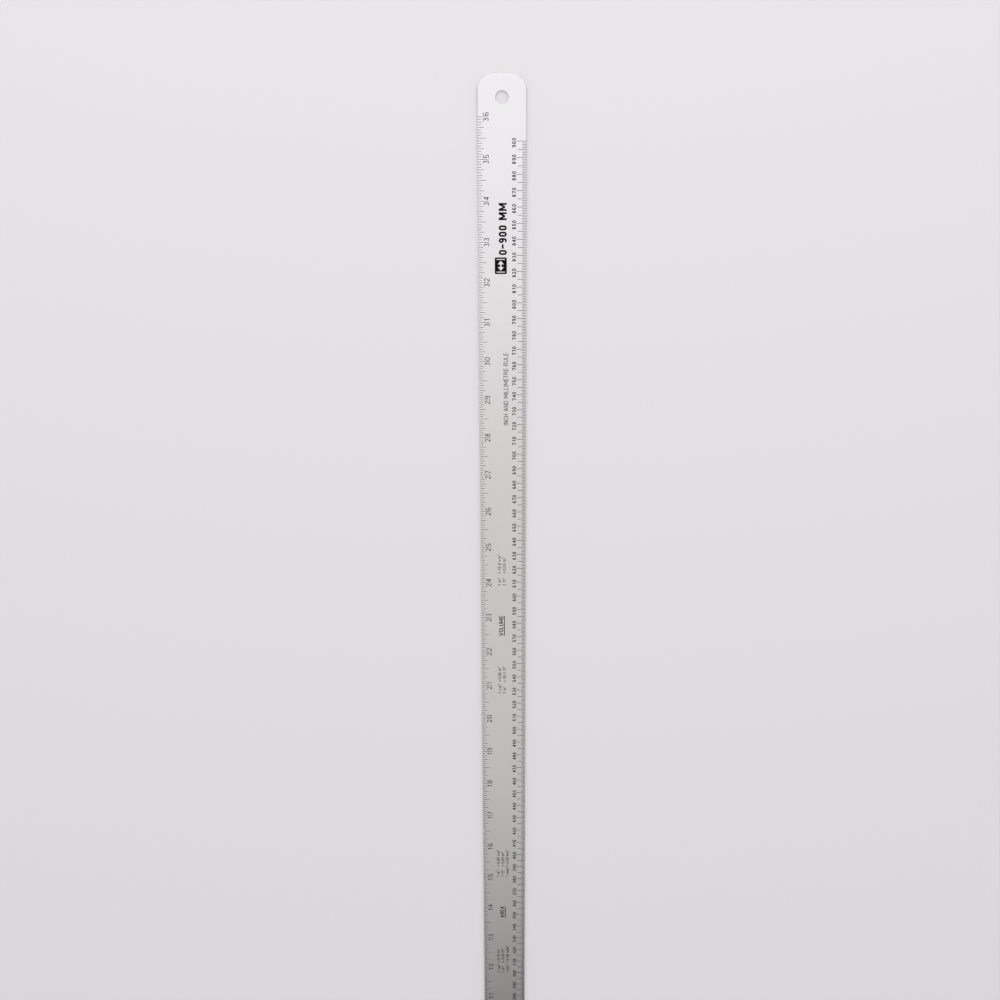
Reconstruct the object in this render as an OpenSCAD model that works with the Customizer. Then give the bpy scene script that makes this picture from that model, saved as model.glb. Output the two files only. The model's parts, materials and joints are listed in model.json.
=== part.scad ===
// Flat aluminium rule with an inch scale, a millimetre scale and a hanging hole.
// It lies on its back. X runs from the zero end to the hanging end, the inch edge is at +Y,
// the millimetre edge is at -Y, and the origin is the middle of the underside.

/* [Blade] */
// Overall length of the blade
blade_length = 940; // [720:1:1200]
// Width across both scales
blade_width = 30; // [25:0.5:50]
// Thickness of the strip
blade_thickness = 2; // [1:0.1:4]
// Radius of the two corners at the hanging end
corner_radius = 10.5; // [2:0.5:12]
// Radius along the four long edges
edge_radius = 0.35; // [0.1:0.05:0.45]

/* [Hanging hole] */
// Diameter of the hole
hole_diameter = 8; // [4:0.5:9]
// Distance from the hanging end to the centre of the hole
hole_inset = 14; // [13:0.5:18]

/* [Print] */
// Thickness of the ink film
ink_thickness = 0.03; // [0.02:0.01:0.1]
// Bare strip between the rounded edge and the first ink
edge_clearance = 0.05; // [0:0.05:0.2]
// Bare length kept between the last graduation and the hanging end
scale_clearance = 25; // [24:1:60]
// Bare strip between a line or a numeral and what is printed next to it
print_clearance = 0.2; // [0.1:0.05:0.4]

/* [Inch scale] */
// Divisions in one inch
inch_divisions = 16; // [8, 16]
// Width of each line
inch_line_width = 0.25; // [0.15:0.05:0.3]
// How far the inch line reaches in from the edge
inch_reach = 6.9; // [6.6:0.1:7.5]
// How far the half inch line reaches in
half_reach = 5; // [4.5:0.1:5.5]
// How far the quarter inch line reaches in
quarter_reach = 3.9; // [3.5:0.1:4.4]
// How far the eighth inch line reaches in
eighth_reach = 3; // [2.6:0.1:3.1]
// How far the sixteenth inch line reaches in
sixteenth_reach = 2.2; // [1.5:0.1:2.5]
// Height of the inch numerals
inch_numeral_height = 3.5; // [2.5:0.1:3.6]
// Width of the stroke that draws them
inch_numeral_stroke = 0.4; // [0.2:0.02:0.5]

/* [Millimetre scale] */
// The scale ends on a whole multiple of this length
metric_block = 50; // [10, 50, 100]
// Width of each line
mm_line_width = 0.28; // [0.15:0.01:0.35]
// How far the ten millimetre line reaches in from the edge
ten_reach = 6.3; // [5.8:0.1:6.6]
// How far the five millimetre line reaches in
five_reach = 5.4; // [4:0.1:5.6]
// How far the one millimetre line reaches in
one_reach = 2.7; // [2:0.1:3.5]
// Height of the millimetre numerals
mm_numeral_height = 2.4; // [1.8:0.1:2.6]
// Width of the stroke that draws them
mm_numeral_stroke = 0.46; // [0.2:0.02:0.5]
// Spacing of the figures in one numeral
mm_figure_pitch = 2.05; // [1.9:0.05:2.2]

/* [Size mark] */
// Distance from the hanging end to the end of the size mark
mark_inset = 77.5; // [60:0.5:90]
// Length of the tile in front of the words
tile_length = 10.5; // [8:0.5:12]
// Width of the tile
tile_width = 7.5; // [6:0.1:8]
// Radius of the tile's corners
tile_radius = 0.9; // [0.3:0.1:1.5]
// Height of the words
mark_height = 5; // [3:0.1:5.5]
// Width of the stroke that draws them
mark_stroke = 1.15; // [0.6:0.05:1.2]
// Gap between the tile and the words
tile_gap = 1.5; // [1:0.5:4]

/* [Title] */
// Distance from the hanging end to the end of the title
title_inset = 172.5; // [150:0.5:190]
// Shift of the title from the middle of the clear strip towards the millimetre edge
title_shift = 3; // [0:0.5:3]
// Height of its letters
title_height = 2.9; // [2:0.1:3.1]
// Width of the stroke that draws them
title_stroke = 0.34; // [0.2:0.02:0.4]

/* [Conversion tables] */
// Distance from the zero end to the middle of the first table
first_table = 126; // [60:1:140]
// Bare length between the last table and the title
table_gap = 89.5; // [20:0.5:100]
// Distance from the heading to the middle of the rows on each side
row_offset = 40.5; // [32:0.5:45]
// Spacing of the rows
row_pitch = 3.2; // [2.9:0.05:3.3]
// Height of the letters in the rows
row_height = 2.1; // [1.8:0.1:2.2]
// Width of the stroke that draws the rows
row_stroke = 0.3; // [0.18:0.02:0.32]
// Distance from the start of a row to its equals sign
equals_tab = 9; // [8.6:0.1:10]
// Distance from the start of a row to the converted amount
amount_tab = 11.1; // [10.8:0.1:12]
// Height of the headings
heading_height = 3; // [2:0.1:3.2]
// Width of the stroke that draws the headings and their underlines
heading_stroke = 0.48; // [0.26:0.02:0.5]

/* [Hidden] */
$fn = 48;

metal = [0.85, 0.85, 0.86];
ink = [0.07, 0.07, 0.08];
inch = 25.4;
// One size past a face, so that a cut goes right through
past = 1;

zero_x = -blade_length/2;
end_x = blade_length/2;
inch_edge = blade_width/2;
mm_edge = -blade_width/2;
line_start = edge_radius + edge_clearance;

inch_count = floor((blade_length - scale_clearance)/inch);
mm_count = metric_block*floor((blade_length - scale_clearance)/metric_block);

// The clear strip between the two rows of numerals
inch_numeral_base = inch_edge - inch_reach;
mm_numeral_base = mm_edge + ten_reach + print_clearance;
strip_middle = (inch_numeral_base + mm_numeral_base + mm_numeral_height)/2;

// Spacing of the figures on each side of an inch line
inch_figure_gap = inch_line_width + 6*print_clearance;

// Proportions of the letters, as shares of their height, and the raised figures' share of the stroke
small_height = 0.72;
raised_height = 0.5;
raised_base = 0.65;
raised_stroke = 0.8;
arch_width = 0.52;
word_space = 0.32;
letter_gap = 0.16;

mark_words = str("0-", mm_count, " MM");
title_words = "INCH AND MILLIMETRE RULE";
// Both rows of a pair say the same thing in opposite directions
length_rows = [[["1 in", "2.54 cm"], ["1 ft", "30.5 cm"], ["1 mile", "1.61 km"]],
    [["1 cm", "0.39 in"], ["1 m", "3.28 ft"], ["1 km", "0.62 mile"]]];
area_rows = [[["1 in²", "6.45 cm²"], ["1 ft²", "0.09 m²"], ["1 mile²", "2.59 km²"]],
    [["1 cm²", "0.15 in²"], ["1 m²", "10.8 ft²"], ["1 km²", "0.38 mile²"]]];
volume_rows = [[["1 in³", "16.4 cm³"], ["1 ft³", "0.03 m³"]],
    [["1 cm³", "0.06 in³"], ["1 m³", "35.3 ft³"]]];

title_length = run_length(title_words, title_height, title_stroke);
title_x = end_x - title_inset - title_length;
table_reach = row_offset + (amount_tab + run_length("0.38 mile²", row_height, row_stroke))/2;
last_table_x = title_x - table_gap - table_reach;
table_pitch = (last_table_x - zero_x - first_table)/2;

// ---- Strokes and letters. Each is drawn from its lower left corner, h high, with a stroke t wide. ----

function holds(set, letter) = len(search(letter, set)) > 0;

// Diameter of the round of a figure. The lower and the upper round share most of one stroke.
function lower_round(h, t) = 0.53*(h + 0.8*t);
function upper_round(h, t) = 0.47*(h + 0.8*t);

function letter_width(c, h, t) =
    c == " " ? word_space*h :
    holds("Iil.", c) ? t :
    holds("0123456789", c) ? lower_round(h, t) :
    holds("²³", c) ? lower_round(raised_height*h, raised_stroke*t) :
    c == "M" ? 0.7*h + 1.2*t :
    holds("AV", c) ? 0.74*h :
    holds("ELTk=-", c) ? 0.54*h :
    holds("ft", c) ? 0.44*h :
    holds("ce", c) ? small_height*h :
    c == "n" ? arch_width*h :
    c == "m" ? 2*arch_width*h - t :
    0.66*h;

// Where letter i of a run starts, and how long the whole run is
function letter_start(words, i, h, t) = i == 0 ? 0
    : letter_start(words, i - 1, h, t) + letter_width(words[i - 1], h, t) + letter_gap*h;
function run_length(words, h, t) =
    letter_start(words, len(words) - 1, h, t) + letter_width(words[len(words) - 1], h, t);

// A straight stroke between two points, with square ends
module limb(from, to, t) {
    way = to - from;
    translate(from) rotate(atan2(way.y, way.x)) translate([0, -t/2]) square([norm(way), t]);
}

// A sloping stroke with level ends, which are t wide
module slope(from, to, t) {
    polygon([[from.x - t/2, from.y], [from.x + t/2, from.y], [to.x + t/2, to.y], [to.x - t/2, to.y]]);
}

// A circular stroke of diameter d, from angle a to angle b
module arc(d, t, a, b) {
    steps = ceil((b - a)/45);
    intersection() {
        round_stroke(d, t);
        translate([d/2, d/2]) polygon([[0, 0], for (i = [0:steps]) let (turn = a + (b - a)*i/steps)
            [d*cos(turn), d*sin(turn)]]);
    }
}

module round_stroke(d, t) {
    translate([d/2, d/2]) difference() {
        circle(d/2);
        circle(d/2 - t);
    }
}

// A closed stroke with round ends
module oval_stroke(w, h, t) {
    difference() {
        oval(w, h);
        translate([t, t]) oval(w - 2*t, h - 2*t);
    }
}

module oval(w, h) {
    for (y = [w/2, h - w/2]) translate([w/2, y]) circle(w/2);
    translate([0, w/2]) square([w, h - w]);
}

module figure(c, h, t) {
    w = lower_round(h, t);
    u = upper_round(h, t);
    if (c == "0") oval_stroke(w, h, t);
    if (c == "1") figure_one(w, h, t);
    if (c == "2") figure_two(w, h, t);
    if (c == "3") {
        arc(w, t, -150, 100);
        translate([(w - u)/2, h - u]) arc(u, t, -100, 150);
    }
    if (c == "4") figure_four(w, h, t);
    if (c == "5") figure_five(w, h, t);
    if (c == "6") figure_six(w, h, t);
    if (c == "7") figure_seven(w, h, t);
    if (c == "8") {
        round_stroke(w, t);
        translate([(w - u)/2, h - u]) round_stroke(u, t);
    }
    if (c == "9") translate([w, h]) rotate(180) figure_six(w, h, t);
}

module figure_one(w, h, t) {
    stem = 0.55*w;
    flag = 0.2*h;
    thick = 1.3*t;
    polygon([[stem, 0], [stem + t, 0], [stem + t, h], [stem, h],
        [stem - flag, h - flag], [stem - flag, h - flag - thick], [stem, h - thick]]);
}

module figure_two(w, h, t) {
    turn = -40;
    centre = [w/2, h - w/2];
    shoulder = centre + (w - t)/2*[cos(turn), sin(turn)];
    foot = [shoulder.x + (shoulder.y - t/2)*tan(turn), t/2];
    // The neck starts a little way inside the round, so that the two are one stroke
    lap = 0.1*t;
    translate([0, h - w]) arc(w, t, turn, 170);
    limb(shoulder - lap*[sin(turn), -cos(turn)], foot, t);
    square([w, t]);
}

module figure_four(w, h, t) {
    stem = 0.64*w;
    bar = 0.22*h;
    thick = 1.25*t;
    translate([stem, 0]) square([t, h]);
    translate([0, bar]) square([w, t]);
    slope([thick/2, bar], [stem + t - thick/2, h], thick);
}

module figure_five(w, h, t) {
    stem = 0.08*w;
    arc(w, t, -150, 135);
    translate([stem, 0.62*w]) square([t, h - 0.62*w]);
    translate([stem, h - t]) square([0.84*w, t]);
}

module figure_six(w, h, t) {
    round_stroke(w, t);
    translate([0, w/2]) square([t, h - w]);
    translate([0, h - w]) arc(w, t, 35, 180);
}

module figure_seven(w, h, t) {
    foot = 0.3*w;
    thick = 1.15*t;
    polygon([[0, h], [w, h], [w, h - t], [foot + thick, 0], [foot, 0], [w - thick, h - t], [0, h - t]]);
}

module capital(c, h, t) {
    w = letter_width(c, h, t);
    middle = (h - t)/2;
    thick = 1.08*t;
    if (c == "A") {
        for (foot = [thick/2, w - thick/2]) slope([foot, 0], [w/2, h], thick);
        translate([0.2*w, 0.26*h]) square([0.6*w, t]);
    }
    if (c == "C" || c == "G") difference() {
        oval_stroke(w, h, t);
        translate([w/2, c == "C" ? 0.32*h : 0.45*h]) square([w, c == "C" ? 0.36*h : 0.23*h]);
    }
    if (c == "G") translate([w/2, 0.45*h - t]) square([w/2, t]);
    if (c == "D") {
        square([t, h]);
        for (y = [0, h - t]) translate([0, y]) square([w/2, t]);
        intersection() {
            oval_stroke(w, h, t);
            translate([w/2, 0]) square([w/2, h]);
        }
    }
    if (c == "E") {
        square([t, h]);
        for (y = [0, middle, h - t]) translate([0, y]) square([w, t]);
    }
    if (c == "H") {
        for (x = [0, w - t]) translate([x, 0]) square([t, h]);
        translate([0, middle]) square([w, t]);
    }
    if (c == "I") square([t, h]);
    if (c == "L") {
        square([t, h]);
        square([w, t]);
    }
    if (c == "M") {
        for (x = [0, w - t]) translate([x, 0]) square([t, h]);
        for (top = [thick/2, w - thick/2]) slope([w/2, 0.2*h], [top, h], thick);
    }
    if (c == "N") {
        for (x = [0, w - t]) translate([x, 0]) square([t, h]);
        slope([w - thick/2, 0], [thick/2, h], thick);
    }
    if (c == "O") oval_stroke(w, h, t);
    if (c == "R") letter_r(w, h, t);
    if (c == "T") {
        translate([(w - t)/2, 0]) square([t, h]);
        translate([0, h - t]) square([w, t]);
    }
    if (c == "U") {
        for (x = [0, w - t]) translate([x, w/2]) square([t, h - w/2]);
        arc(w, t, 180, 360);
    }
    if (c == "V") for (top = [thick/2, w - thick/2]) slope([w/2, 0], [top, h], thick);
}

module letter_r(w, h, t) {
    round = 0.56*h;
    square([t, h]);
    for (y = [h - round, h - t]) translate([0, y]) square([w - round/2, t]);
    translate([w - round, h - round]) arc(round, t, -90, 90);
    slope([w - 0.55*t, 0], [0.5*w, h - round + t/2], 1.1*t);
}

module small_letter(c, h, t) {
    x_height = small_height*h;
    w = letter_width(c, h, t);
    if (c == "c") arc(x_height, t, 45, 315);
    if (c == "e") {
        arc(x_height, t, 0, 320);
        translate([t/2, (x_height - t)/2]) square([x_height - t, t]);
    }
    if (c == "f") {
        hook = 0.24*h;
        stem = 0.14*h;
        translate([stem, 0]) square([t, h - hook]);
        translate([stem, h - 2*hook]) arc(2*hook, t, 60, 180);
        translate([0, x_height - t]) square([w, t]);
    }
    if (c == "i") {
        square([t, x_height]);
        translate([0, h - t]) square([t, t]);
    }
    if (c == "k") {
        square([t, h]);
        slope([w - 0.6*t, 0], [t, 0.5*h], 1.2*t);
        slope([0.7*t, 0.25*h], [w - 0.7*t, x_height], 1.3*t);
    }
    if (c == "l") square([t, h]);
    if (c == "m" || c == "n") {
        arch = arch_width*h;
        square([t, x_height]);
        for (x = c == "m" ? [0, arch - t] : [0]) {
            translate([x, x_height - arch]) arc(arch, t, 0, 180);
            translate([x + arch - t, 0]) square([t, x_height - arch/2]);
        }
    }
    if (c == "t") {
        translate([0.14*h, 0]) square([t, 0.94*h]);
        translate([0, x_height - t]) square([w, t]);
    }
}

module sign(c, h, t) {
    w = letter_width(c, h, t);
    if (c == "=") for (y = [0.26*h, 0.54*h]) translate([0, y]) square([w, t]);
    if (c == ".") square([t, t]);
    if (c == "-") translate([0, (h - t)/2]) square([w, t]);
    if (c == "²") translate([0, raised_base*h]) figure("2", raised_height*h, raised_stroke*t);
    if (c == "³") translate([0, raised_base*h]) figure("3", raised_height*h, raised_stroke*t);
}

// A run of letters as ink on the front face, with its lower left corner at a point
module words(run, at, h, t) {
    for (i = [0:len(run) - 1]) translate([at.x + letter_start(run, i, h, t), at.y, 0]) letter(run[i], h, t);
}

module letter(c, h, t) {
    if (c != " ") printed() {
        figure(c, h, t);
        capital(c, h, t);
        small_letter(c, h, t);
        sign(c, h, t);
    }
}

// Lays flat shapes on the front face as a film of ink
module printed() {
    color(ink) translate([0, 0, blade_thickness]) linear_extrude(ink_thickness) children();
}

// ---- Blade ----

// A bar with rounded long edges, as extruded, cut square at both ends
module strip() {
    across = blade_width/2 - edge_radius;
    translate([zero_x, 0, 0]) rotate([90, 0, 90]) linear_extrude(blade_length) {
        for (y = [-across, across], z = [edge_radius, blade_thickness - edge_radius])
            translate([y, z]) circle(edge_radius);
        translate([-across, 0]) square([2*across, blade_thickness]);
        translate([mm_edge, edge_radius]) square([blade_width, blade_thickness - 2*edge_radius]);
    }
}

// What the end punch leaves: two rounded corners at the hanging end
module end_outline() {
    across = blade_width/2 - corner_radius;
    translate([0, 0, -past]) linear_extrude(blade_thickness + 2*past) {
        for (y = [-across, across]) translate([end_x - corner_radius, y]) circle(corner_radius);
        translate([zero_x - past, -blade_width/2 - past])
            square([blade_length + past - corner_radius, blade_width + 2*past]);
        translate([zero_x, -across]) square([blade_length, 2*across]);
    }
}

module blade() {
    color(metal) difference() {
        intersection() {
            strip();
            end_outline();
        }
        translate([end_x - hole_inset, 0, -past]) cylinder(d = hole_diameter, h = blade_thickness + 2*past);
    }
}

// ---- Inch scale ----

// How far line i of the inch scale reaches in from the edge
function inch_line_reach(i) =
    i % inch_divisions == 0 ? inch_reach :
    i % (inch_divisions/2) == 0 ? half_reach :
    i % (inch_divisions/4) == 0 ? quarter_reach :
    i % (inch_divisions/8) == 0 ? eighth_reach : sixteenth_reach;

module inch_graduations() {
    for (i = [1:inch_count*inch_divisions]) {
        reach = inch_line_reach(i);
        translate([zero_x + i*inch/inch_divisions - inch_line_width/2, inch_edge - reach, blade_thickness])
            color(ink) cube([inch_line_width, reach - line_start, ink_thickness]);
    }
}

// The inch line runs between the tens and the units, and a single figure stands before its line
module inch_numerals() {
    w = lower_round(inch_numeral_height, inch_numeral_stroke);
    for (n = [1:inch_count]) {
        run = str(n);
        for (j = [0:len(run) - 1]) {
            before_line = len(run) == 1 || j < len(run) - 1;
            side = before_line ? -w - inch_figure_gap/2 : inch_figure_gap/2;
            translate([zero_x + n*inch + side, inch_numeral_base, 0])
                letter(run[j], inch_numeral_height, inch_numeral_stroke);
        }
    }
}

// ---- Millimetre scale ----

function mm_line_reach(i) = i % 10 == 0 ? ten_reach : i % 5 == 0 ? five_reach : one_reach;

module millimetre_graduations() {
    for (i = [1:mm_count])
        translate([zero_x + i - mm_line_width/2, mm_edge + line_start, blade_thickness])
            color(ink) cube([mm_line_width, mm_line_reach(i) - line_start, ink_thickness]);
}

// The ten millimetre line points at the gap before the last figure
module millimetre_numerals() {
    w = lower_round(mm_numeral_height, mm_numeral_stroke);
    for (n = [1:mm_count/10]) {
        run = str(10*n);
        for (j = [0:len(run) - 1]) {
            place = mm_figure_pitch*(j - len(run) + 1.5);
            translate([zero_x + 10*n + place - w/2, mm_numeral_base, 0])
                letter(run[j], mm_numeral_height, mm_numeral_stroke);
        }
    }
}

// ---- Words ----

// A tile with a double arrow between two stops, and the span of the millimetre scale
module size_mark() {
    length = run_length(mark_words, mark_height, mark_stroke);
    start = end_x - mark_inset - length;
    base = strip_middle - tile_width/2;
    words(mark_words, [start, base], mark_height, mark_stroke);
    printed() translate([start - tile_gap - tile_length, base]) difference() {
        tile();
        translate([tile_length/2, tile_width/2]) double_arrow();
    }
}

module tile() {
    translate([tile_radius, 0]) square([tile_length - 2*tile_radius, tile_width]);
    translate([0, tile_radius]) square([tile_length, tile_width - 2*tile_radius]);
    for (x = [tile_radius, tile_length - tile_radius], y = [tile_radius, tile_width - tile_radius])
        translate([x, y]) circle(tile_radius);
}

module double_arrow() {
    half = 0.38*tile_length;
    stop = 0.05*tile_length;
    head = 0.22*tile_length;
    high = 0.34*tile_width;
    shaft = 0.12*tile_width;
    point = half - 1.6*stop;
    for (side = [-1, 1]) {
        translate([side*half - stop/2, -high]) square([stop, 2*high]);
        polygon([[side*point, 0], [side*(point - head), high*0.75], [side*(point - head), -high*0.75]]);
    }
    translate([head - point, -shaft/2]) square([2*(point - head), shaft]);
}

module title() {
    words(title_words, [title_x, strip_middle - title_shift - title_height/2], title_height, title_stroke);
}

// A heading with an underline, and rows of equal amounts on both sides of it
module conversion_table(place, heading, rows) {
    middle = zero_x + first_table + place*table_pitch;
    length = run_length(heading, heading_height, heading_stroke);
    words(heading, [middle - length/2, strip_middle - heading_height/2 + heading_stroke],
        heading_height, heading_stroke);
    printed() translate([middle - length/2, strip_middle - heading_height/2 - heading_stroke])
        square([length, heading_stroke]);
    for (side = [0, 1]) conversion_rows(rows[side], middle + (side == 0 ? row_offset : -row_offset));
}

module conversion_rows(rows, middle) {
    lengths = [for (row = rows) run_length(row[1], row_height, row_stroke)];
    start = middle - (amount_tab + max(lengths))/2;
    for (i = [0:len(rows) - 1]) {
        base = strip_middle + ((len(rows) - 1)/2 - i)*row_pitch - row_height/2;
        words(rows[i][0], [start, base], row_height, row_stroke);
        words("=", [start + equals_tab, base], row_height, row_stroke);
        words(rows[i][1], [start + amount_tab, base], row_height, row_stroke);
    }
}

module length_table() {
    conversion_table(0, "LENGTH", length_rows);
}

module area_table() {
    conversion_table(1, "AREA", area_rows);
}

module volume_table() {
    conversion_table(2, "VOLUME", volume_rows);
}

blade();
inch_graduations();
inch_numerals();
millimetre_graduations();
millimetre_numerals();
size_mark();
title();
length_table();
area_table();
volume_table();
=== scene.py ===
import json
from math import cos, radians, sin

import bmesh
import bpy
from mathutils import Matrix, Quaternion, Vector


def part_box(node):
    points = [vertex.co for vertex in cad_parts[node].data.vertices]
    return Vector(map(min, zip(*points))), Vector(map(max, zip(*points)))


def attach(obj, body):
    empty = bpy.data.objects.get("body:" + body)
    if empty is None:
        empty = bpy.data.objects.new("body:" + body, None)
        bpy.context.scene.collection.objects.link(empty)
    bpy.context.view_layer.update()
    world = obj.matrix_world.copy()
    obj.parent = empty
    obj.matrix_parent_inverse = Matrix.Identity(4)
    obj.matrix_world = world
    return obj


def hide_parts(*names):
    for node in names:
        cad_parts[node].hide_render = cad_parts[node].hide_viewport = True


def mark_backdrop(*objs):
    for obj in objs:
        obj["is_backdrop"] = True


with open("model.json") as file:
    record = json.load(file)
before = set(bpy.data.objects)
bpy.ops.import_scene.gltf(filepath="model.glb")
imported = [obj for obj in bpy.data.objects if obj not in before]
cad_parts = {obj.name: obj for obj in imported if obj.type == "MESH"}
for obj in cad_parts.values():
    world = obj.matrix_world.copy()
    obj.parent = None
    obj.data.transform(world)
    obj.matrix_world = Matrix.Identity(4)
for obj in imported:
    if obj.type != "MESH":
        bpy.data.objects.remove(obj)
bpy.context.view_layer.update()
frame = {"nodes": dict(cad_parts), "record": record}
mm = 0.001
scene = bpy.context.scene
print("frame:", len(frame["nodes"]), "nodes")


def colour(code):
    # sRGB hex to linear
    parts = [int(code[i:i + 2], 16) / 255 for i in (1, 3, 5)]
    return [v / 12.92 if v <= 0.04045 else ((v + 0.055) / 1.055) ** 2.4 for v in parts] + [1.0]


def addNode(tree, kind, settings=None, links=None):
    # a setting is one of the node's own or a socket by name or number, a link is (socket, node, output)
    node = tree.nodes.new(kind)
    for name, value in (settings or {}).items():
        if isinstance(name, str) and hasattr(node, name):
            setattr(node, name, value)
        else:
            node.inputs[name].default_value = value
    for name, source, output in links or []:
        tree.links.new(source.outputs[output], node.inputs[name])
    return node


def newMaterial(name):
    material = bpy.data.materials.new(name)
    material.use_nodes = True
    material.node_tree.nodes.clear()
    return material, material.node_tree


def newPiece(name, bm, material):
    mesh = bpy.data.meshes.new(name)
    bm.to_mesh(mesh)
    bm.free()
    piece = bpy.data.objects.new(name, mesh)
    scene.collection.objects.link(piece)
    piece.data.materials.append(material)
    return piece


# Clear anodised aluminium, extruded, satin etched and sealed: a pale grey metal whose sheen is soft and
# pearly, with faint draw lines along the length, a fine etched grain and slow cloudy changes of gloss.
anodised = {
    "colour": "#ECECEE",
    "roughness": 0.25,
    "roughnessDrift": 0.03,     # how far the clouds change it
    "tintDrift": 0.02,          # how far the draw lines change the colour
    "lineSpacing": 0.35,        # mm between draw lines, coarser than the real 0.05 so that they show
    "lineLength": 90,           # mm
    "grainSize": 0.12,          # mm, the etched grain
    "cloudSize": 45,            # mm
    "lineRelief": 0.003,        # mm
    "grainRelief": 0.001,       # mm
}


def anodisedAluminium():
    s = anodised
    material, tree = newMaterial("Clear anodised aluminium")
    place = addNode(tree, "ShaderNodeTexCoord")
    across = 1 / (s["lineSpacing"] * mm)
    stretch = addNode(tree, "ShaderNodeMapping", {"Scale": (1 / (s["lineLength"] * mm), across, across)},
                      [("Vector", place, "Object")])
    lines = addNode(tree, "ShaderNodeTexNoise", {"Scale": 1.0, "Detail": 3.0, "Roughness": 0.6},
                    [("Vector", stretch, "Vector")])
    grain = addNode(tree, "ShaderNodeTexNoise", {"Scale": 1 / (s["grainSize"] * mm), "Detail": 1.0},
                    [("Vector", place, "Object")])
    cloud = addNode(tree, "ShaderNodeTexNoise", {"Scale": 1 / (s["cloudSize"] * mm), "Detail": 2.0},
                    [("Vector", place, "Object")])
    gloss = addNode(tree, "ShaderNodeMapRange", {
        "To Min": s["roughness"] - s["roughnessDrift"],
        "To Max": s["roughness"] + s["roughnessDrift"],
    }, [("Value", cloud, "Fac")])
    tint = addNode(tree, "ShaderNodeMapRange", {
        "To Min": 1 - s["tintDrift"],
        "To Max": 1 + s["tintDrift"],
    }, [("Value", lines, "Fac")])
    base = addNode(tree, "ShaderNodeVectorMath", {"operation": "SCALE", 0: colour(s["colour"])[:3]},
                   [("Scale", tint, "Result")])
    drawn = addNode(tree, "ShaderNodeBump", {"Distance": s["lineRelief"] * mm},
                    [("Height", lines, "Fac")])
    etched = addNode(tree, "ShaderNodeBump", {"Distance": s["grainRelief"] * mm},
                     [("Height", grain, "Fac"), ("Normal", drawn, "Normal")])
    shader = addNode(tree, "ShaderNodeBsdfPrincipled", {"Metallic": 1.0}, [
        ("Base Color", base, "Vector"),
        ("Roughness", gloss, "Result"),
        ("Normal", etched, "Normal"),
    ])
    addNode(tree, "ShaderNodeOutputMaterial", None, [("Surface", shader, "BSDF")])
    return material


# Black dye printed into the open anodic film and sealed under it: a dense matt black that keeps a
# little of the metal's sheen, slightly uneven where the dye took less.
printDye = {
    "colour": "#0B0B0D",
    "roughness": 0.5,
    "specular": 0.06,       # the film over it is thin and etched
    "mottleSize": 0.4,      # mm
    "mottle": 0.2,          # how far the mottle changes the colour
}


def blackDye():
    s = printDye
    material, tree = newMaterial("Black dye in anodic film")
    place = addNode(tree, "ShaderNodeTexCoord")
    mottle = addNode(tree, "ShaderNodeTexNoise", {"Scale": 1 / (s["mottleSize"] * mm), "Detail": 2.0},
                     [("Vector", place, "Object")])
    tint = addNode(tree, "ShaderNodeMapRange", {
        "To Min": 1 - s["mottle"],
        "To Max": 1 + s["mottle"],
    }, [("Value", mottle, "Fac")])
    base = addNode(tree, "ShaderNodeVectorMath", {"operation": "SCALE", 0: colour(s["colour"])[:3]},
                   [("Scale", tint, "Result")])
    shader = addNode(tree, "ShaderNodeBsdfPrincipled", {
        "Roughness": s["roughness"],
        "Specular IOR Level": s["specular"],
    }, [("Base Color", base, "Vector")])
    addNode(tree, "ShaderNodeOutputMaterial", None, [("Surface", shader, "BSDF")])
    return material


# The blade starts as an extruded strip with four rounded long edges. The end punch then rounds two
# corners at the hanging end, the hole is drilled, and every cut edge is broken before anodising.
blade = {
    "edgeRadius": 0.35,         # mm, the extruded long edges
    "edgeSegments": 6,
    "cornerRadius": 10.5,       # mm
    "cornerCuts": 30,
    "brokenEdge": 0.12,         # mm, on what was punched, drilled or sawn
    "brokenSegments": 2,
    "holeSides": 96,
    "drillLength": 3,           # times the thickness, so that it goes right through
    "sharpAngle": 50,           # degrees between two faces whose shared edge was cut
    "flatFace": 0.9999,         # a face whose normal is this close to an axis is shaded flat
    "cutWithin": 1e-9,          # m, how close to a cut a point counts as on it
    "weldWithin": 1e-7,         # m, points closer than this become one
}


def extrudedStrip(low, high):
    # the section stands at the zero end in the YZ plane and is pulled along X
    s = blade
    bm = bmesh.new()
    bmesh.ops.create_grid(bm, x_segments=1, y_segments=1, size=0.5)
    size = high - low
    middle = (low.z + high.z) / 2
    section = Matrix(((0, 0, 1, low.x), (size.y, 0, 0, 0), (0, size.z, 0, middle), (0, 0, 0, 1)))
    bmesh.ops.transform(bm, matrix=section, verts=bm.verts)
    bmesh.ops.bevel(bm, geom=bm.verts[:], offset=s["edgeRadius"] * mm, offset_type="OFFSET",
                    segments=s["edgeSegments"], profile=0.5, affect="VERTICES", material=-1)
    pulled = bmesh.ops.extrude_face_region(bm, geom=bm.faces[:])
    farEnd = [v for v in pulled["geom"] if isinstance(v, bmesh.types.BMVert)]
    bmesh.ops.translate(bm, vec=(size.x, 0, 0), verts=farEnd)
    bmesh.ops.recalc_face_normals(bm, faces=bm.faces[:])
    return bm


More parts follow.
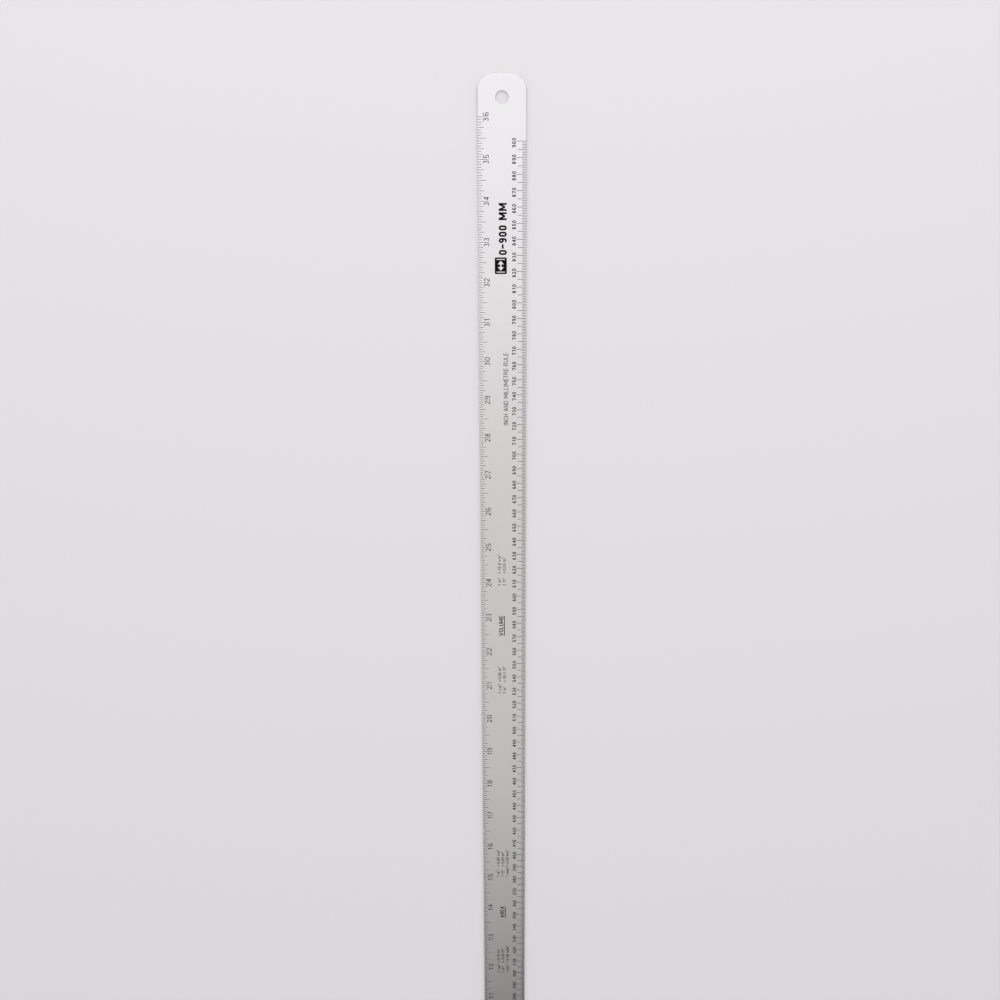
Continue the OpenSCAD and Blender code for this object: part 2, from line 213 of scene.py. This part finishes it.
def punchCorners(bm, high):
    # one flat cut for each short chord of the two quarter rounds
    s = blade
    radius = s["cornerRadius"] * mm
    step = 90 / s["cornerCuts"]
    for side in (-1, 1):
        centre = Vector((high.x - radius, side * (high.y - radius), 0))
        for cut in range(s["cornerCuts"]):
            turn = radians(step * (cut + 0.5))
            outwards = Vector((cos(turn), side * sin(turn), 0))
            sliced = bmesh.ops.bisect_plane(
                bm, geom=bm.verts[:] + bm.edges[:] + bm.faces[:], dist=s["cutWithin"], clear_outer=True,
                plane_co=centre + outwards * radius * cos(radians(step / 2)), plane_no=outwards)
            rim = [e for e in sliced["geom_cut"] if isinstance(e, bmesh.types.BMEdge)]
            bmesh.ops.contextual_create(bm, geom=rim)
    bmesh.ops.recalc_face_normals(bm, faces=bm.faces[:])


def drillHole(bm, mount):
    # the drill is a plain rod through the strip, taken away with a boolean
    s = blade
    rod = bmesh.new()
    radius = mount["dims"]["r_mm"] * mm
    depth = s["drillLength"] * mount["dims"]["length_mm"] * mm
    bmesh.ops.create_cone(rod, cap_ends=True, segments=s["holeSides"], radius1=radius, radius2=radius,
                          depth=depth, matrix=Matrix.Translation(mount["pos_m"]))
    drill = newPiece("drill", rod, None)
    strip = newPiece("strip", bm, None)
    cut = strip.modifiers.new("hole", "BOOLEAN")
    cut.operation = "DIFFERENCE"
    cut.solver = "EXACT"
    cut.object = drill
    drilled = bmesh.new()
    drilled.from_object(strip, bpy.context.evaluated_depsgraph_get())
    for used in (strip, drill):
        bpy.data.objects.remove(used)
    return drilled


def breakCutEdges(bm, low, high):
    s = blade
    cut = [e for e in bm.edges if e.calc_face_angle(0) > radians(s["sharpAngle"])]
    bmesh.ops.bevel(bm, geom=cut, offset=s["brokenEdge"] * mm, offset_type="OFFSET",
                    segments=s["brokenSegments"], profile=0.5, affect="EDGES", material=-1)
    # where the long edges run out at a punched corner, the bevel stands a little proud of the faces
    for vert in bm.verts:
        vert.co = [min(max(c, least), most) for c, least, most in zip(vert.co, low, high)]
    bmesh.ops.remove_doubles(bm, verts=bm.verts[:], dist=s["weldWithin"])
    bmesh.ops.recalc_face_normals(bm, faces=bm.faces[:])


def makeBlade(material):
    low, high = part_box("blade")
    hole = next(m for m in frame["record"]["mounts"] if m["name"] == "hanging_hole")
    bm = extrudedStrip(low, high)
    punchCorners(bm, high)
    bm = drillHole(bm, hole)
    breakCutEdges(bm, low, high)
    for face in bm.faces:
        face.smooth = max(abs(c) for c in face.normal) < blade["flatFace"]     # only what is round
    piece = newPiece("blade_strip", bm, material)
    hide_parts("blade")
    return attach(piece, "root")


metal = anodisedAluminium()
dye = blackDye()
print("materials: anodised aluminium, black dye")

bladePiece = makeBlade(metal)
print("blade:", len(bladePiece.data.polygons), "faces")

for name, node in frame["nodes"].items():
    node.data.materials.clear()
    node.data.materials.append(metal if name == "blade" else dye)
print("print: dye on every scale, table and mark")

# The camera stands past the hanging end and looks back down the rule, with the hanging end at the top.
# The zero end is out of view.
camera = {
    "place": (542.8, -6.23, 978.06),    # mm
    "aim": (198.38, 2.03, 2.0),         # mm
    "roll": -178.75,                    # degrees
    "lens": 56.68,                      # mm
    "sensor": 36,                       # mm wide
    "nearest": 0.01,                    # m, what is closer is not seen
}


def makeCamera():
    s = camera
    place = Vector(s["place"]) * mm
    aim = Vector(s["aim"]) * mm
    data = bpy.data.cameras.new("camera")
    data.lens = s["lens"]
    data.sensor_width = s["sensor"]
    data.clip_start = s["nearest"]
    body = bpy.data.objects.new("camera", data)
    turn = (aim - place).to_track_quat("-Z", "Y") @ Quaternion((0, 0, 1), radians(s["roll"]))
    body.matrix_world = Matrix.Translation(place) @ turn.to_matrix().to_4x4()
    scene.collection.objects.link(body)
    scene.camera = body


makeCamera()
print("camera")

# White background paper, matt and pulled tight, with hardly any texture of its own
backdrop = {
    "colour": "#EDECED",
    "roughness": 0.9,
    "size": 30,         # m
}


def paper():
    s = backdrop
    material, tree = newMaterial("White background paper")
    shader = addNode(tree, "ShaderNodeBsdfPrincipled", {
        "Base Color": colour(s["colour"]),
        "Roughness": s["roughness"],
    })
    addNode(tree, "ShaderNodeOutputMaterial", None, [("Surface", shader, "BSDF")])
    return material


def makeFloor():
    bm = bmesh.new()
    bmesh.ops.create_grid(bm, x_segments=1, y_segments=1, size=backdrop["size"] / 2)
    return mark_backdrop(newPiece("floor", bm, paper()))


# A softbox stands past the hanging end. The rest is a pale studio: white walls all round, and a ceiling
# that is lit from the hanging end, so the blade, which mirrors it softly, darkens along its length.
keyLight = {
    "place": (1.2, 0.0, 1.4),   # m
    "size": (0.6, 1.6),         # m
    "power": 8.3,
    "colour": "#FFFBFF",
}
room = {
    "walls": 0.68,
    "wallTop": (0.55, 0.72),    # height on the sky dome where the walls pass into the ceiling
    "wallColour": "#FFFCFF",
    # place along X on the sky dome, brightness, colour
    "ceiling": (
        (-0.6, 0.02, "#FFFEF9"),
        (-0.5, 0.84, "#FFFEF9"),
        (-0.4, 0.58, "#FFFEF9"),
        (-0.3, 0.70, "#FFFEF8"),
        (-0.1, 1.17, "#FFFCFE"),
        (0.2, 0.76, "#FFFBFF"),
    ),
    "brightest": 1.2,
}


def makeKey():
    s = keyLight
    data = bpy.data.lights.new("key", "AREA")
    data.shape = "RECTANGLE"
    data.size, data.size_y = s["size"]
    data.energy = s["power"]
    data.color = colour(s["colour"])[:3]
    lamp = bpy.data.objects.new("key", data)
    lamp.location = s["place"]
    scene.collection.objects.link(lamp)


def makeRoom():
    s = room
    world = bpy.data.worlds.new("room")
    world.use_nodes = True
    tree = world.node_tree
    tree.nodes.clear()
    way = addNode(tree, "ShaderNodeTexCoord")
    parts = addNode(tree, "ShaderNodeSeparateXYZ", None, [("Vector", way, "Generated")])
    along = addNode(tree, "ShaderNodeMapRange", {"From Min": -1.0}, [("Value", parts, "X")])
    ceiling = addNode(tree, "ShaderNodeValToRGB", None, [("Fac", along, "Result")])
    stops = ceiling.color_ramp.elements
    while len(stops) < len(s["ceiling"]):
        stops.new(0.5)
    for stop, (x, bright, tint) in zip(stops, s["ceiling"]):
        stop.position = (x + 1) / 2
        stop.color = [c * bright / s["brightest"] for c in colour(tint)[:3]] + [1.0]
    wall = [c * s["walls"] / s["brightest"] for c in colour(s["wallColour"])[:3]] + [1.0]
    height = addNode(tree, "ShaderNodeMapRange", {
        "interpolation_type": "SMOOTHSTEP", "From Min": s["wallTop"][0], "From Max": s["wallTop"][1],
    }, [("Value", parts, "Z")])
    # on a colour mix the two colours are inputs 6 and 7, and the result is output 2
    dome = addNode(tree, "ShaderNodeMix", {"data_type": "RGBA", 6: wall},
                   [(0, height, "Result"), (7, ceiling, "Color")])
    back = addNode(tree, "ShaderNodeBackground", {"Strength": s["brightest"]}, [("Color", dome, 2)])
    addNode(tree, "ShaderNodeOutputWorld", None, [("Surface", back, "Background")])
    scene.world = world


makeFloor()
makeKey()
makeRoom()
scene.view_settings.view_transform = "Standard"
print("floor and lights")
